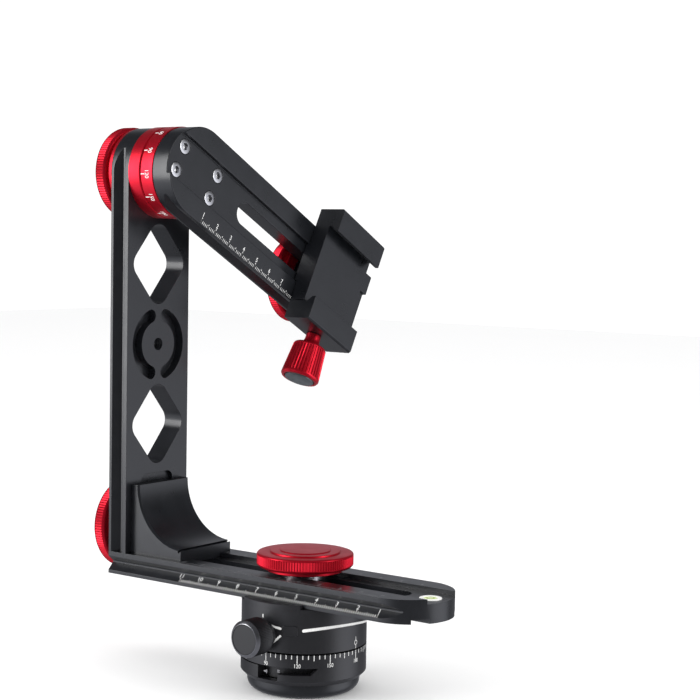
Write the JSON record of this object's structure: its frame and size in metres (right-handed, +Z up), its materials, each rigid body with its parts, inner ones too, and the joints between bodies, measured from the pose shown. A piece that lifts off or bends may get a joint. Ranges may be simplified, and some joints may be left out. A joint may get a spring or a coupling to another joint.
{
  "type": "panoramic tripod head",
  "caption": "Panoramic tripod head: indexed pan drum, sliding dovetail rail, upright arm with diamond windows, tilting upper rail and screw clamp for a camera plate.",
  "frame": {"origin": "pan axis at the underside of the base plate, the mouth of the 3/8 inch tripod hole", "axes": "+Z up along the pan axis; +X along the lower rail toward its round end, away from the upright arm; +Y away from the lock knob"},
  "size_m": [0.1689, 0.1614, 0.2265],
  "materials": {
    "black": "black anodised, satin",
    "drum_black": "black anodised, bead blasted",
    "grip_black": "black anodised, knurled",
    "red": "red anodised, satin",
    "steel": "turned stainless steel",
    "washer_steel": "bright turned steel",
    "bronze": "bearing bronze",
    "level_white": "white moulded plastic",
    "level_fluid": "clear acrylic with pale green fluid",
    "cap_grey": "natural grey anodised"
  },
  "bodies": {
    "base": {"base_plate": "black", "thread_bush": "steel", "scale_ring": "drum_black", "ring_screws": "steel", "click_ring": "bronze", "thrust_washer": "bronze", "pan_spindle": "steel", "spindle_nut": "steel"},
    "index": {"index_lever": "grip_black"},
    "drum": {"rotator_drum": "drum_black", "drum_lid": "black", "lid_screws": "steel", "side_plug": "drum_black", "brake_shoe": "bronze", "detent_ball": "steel", "rail_stud": "steel"},
    "pan_lock": {"lock_knob": "grip_black", "lock_screw": "steel"},
    "rail_lock": {"rail_knob": "red", "rail_washer": "washer_steel"},
    "frame": {"lower_rail": "black", "level_ring": "level_white", "level_vial": "level_fluid", "gusset": "black", "gusset_screws": "steel", "upright_arm": "black", "arm_stud": "steel", "fixed_ring": "red", "ring_bolts": "steel", "tilt_bush": "bronze"},
    "arm_lock": {"arm_knob": "red", "arm_washer": "washer_steel"},
    "tilt": {"tilt_shaft": "steel", "tilt_dial": "red", "upper_rail": "black", "upper_rail_screws": "steel"},
    "tilt_lock": {"tilt_knob": "red", "tilt_washer": "red"},
    "carriage": {"clamp_body": "black", "guide_pins": "steel", "clamp_stud": "steel"},
    "carriage_lock": {"clamp_lock_knob": "red", "clamp_lock_washer": "washer_steel"},
    "jaw": {"clamp_jaw": "black"},
    "clamp_screw_set": {"clamp_screw": "steel", "clamp_knob": "red", "clamp_knob_cap": "cap_grey"}
  },
  "joints": [
    {"name": "pan", "type": "hinge", "parent": "base", "child": "drum", "pos_m": [0, 0, 0.019], "axis": [0, 0, 1], "continuous": true},
    {"name": "index_swing", "type": "hinge", "parent": "base", "child": "index", "pos_m": [0, 0, 0.0103], "axis": [0, 0, 1], "range_deg": [0, 20]},
    {"name": "pan_lock_turn", "type": "hinge", "parent": "drum", "child": "pan_lock", "pos_m": [0, -0.033, 0.0257], "axis": [0, -1, 0], "range_deg": [0, 360]},
    {"name": "rail_slide", "type": "slide", "parent": "drum", "child": "frame", "axis": [1, 0, 0], "range_m": [-0.045, 0.033]},
    {"name": "rail_lock_turn", "type": "hinge", "parent": "drum", "child": "rail_lock", "pos_m": [0, 0, 0.05], "axis": [0, 0, 1], "range_deg": [0, 720]},
    {"name": "arm_lock_turn", "type": "hinge", "parent": "frame", "child": "arm_lock", "pos_m": [-0.0955, 0, 0.0557], "axis": [-1, 0, 0], "range_deg": [0, 720]},
    {"name": "tilt", "type": "hinge", "parent": "frame", "child": "tilt", "pos_m": [-0.0679, 0, 0.207], "axis": [1, 0, 0], "continuous": true},
    {"name": "tilt_lock_turn", "type": "hinge", "parent": "tilt", "child": "tilt_lock", "pos_m": [-0.0955, 0, 0.207], "axis": [-1, 0, 0], "range_deg": [0, 720]},
    {"name": "carriage_slide", "type": "slide", "parent": "tilt", "child": "carriage", "axis": [0, 0.8805, -0.4741], "range_m": [-0.052, 0.015]},
    {"name": "carriage_lock_turn", "type": "hinge", "parent": "carriage", "child": "carriage_lock", "pos_m": [-0.0729, 0.08541, 0.16101], "axis": [-1, 0, 0], "range_deg": [0, 720]},
    {"name": "jaw_slide", "type": "slide", "parent": "carriage", "child": "jaw", "axis": [0, -0.4741, -0.8805], "range_m": [0, 0.004]},
    {"name": "clamp_screw_turn", "type": "hinge", "parent": "jaw", "child": "clamp_screw_set", "pos_m": [-0.053, 0.06644, 0.12579], "axis": [0, -0.4741, -0.8805], "range_deg": [0, 1795]}
  ]
}
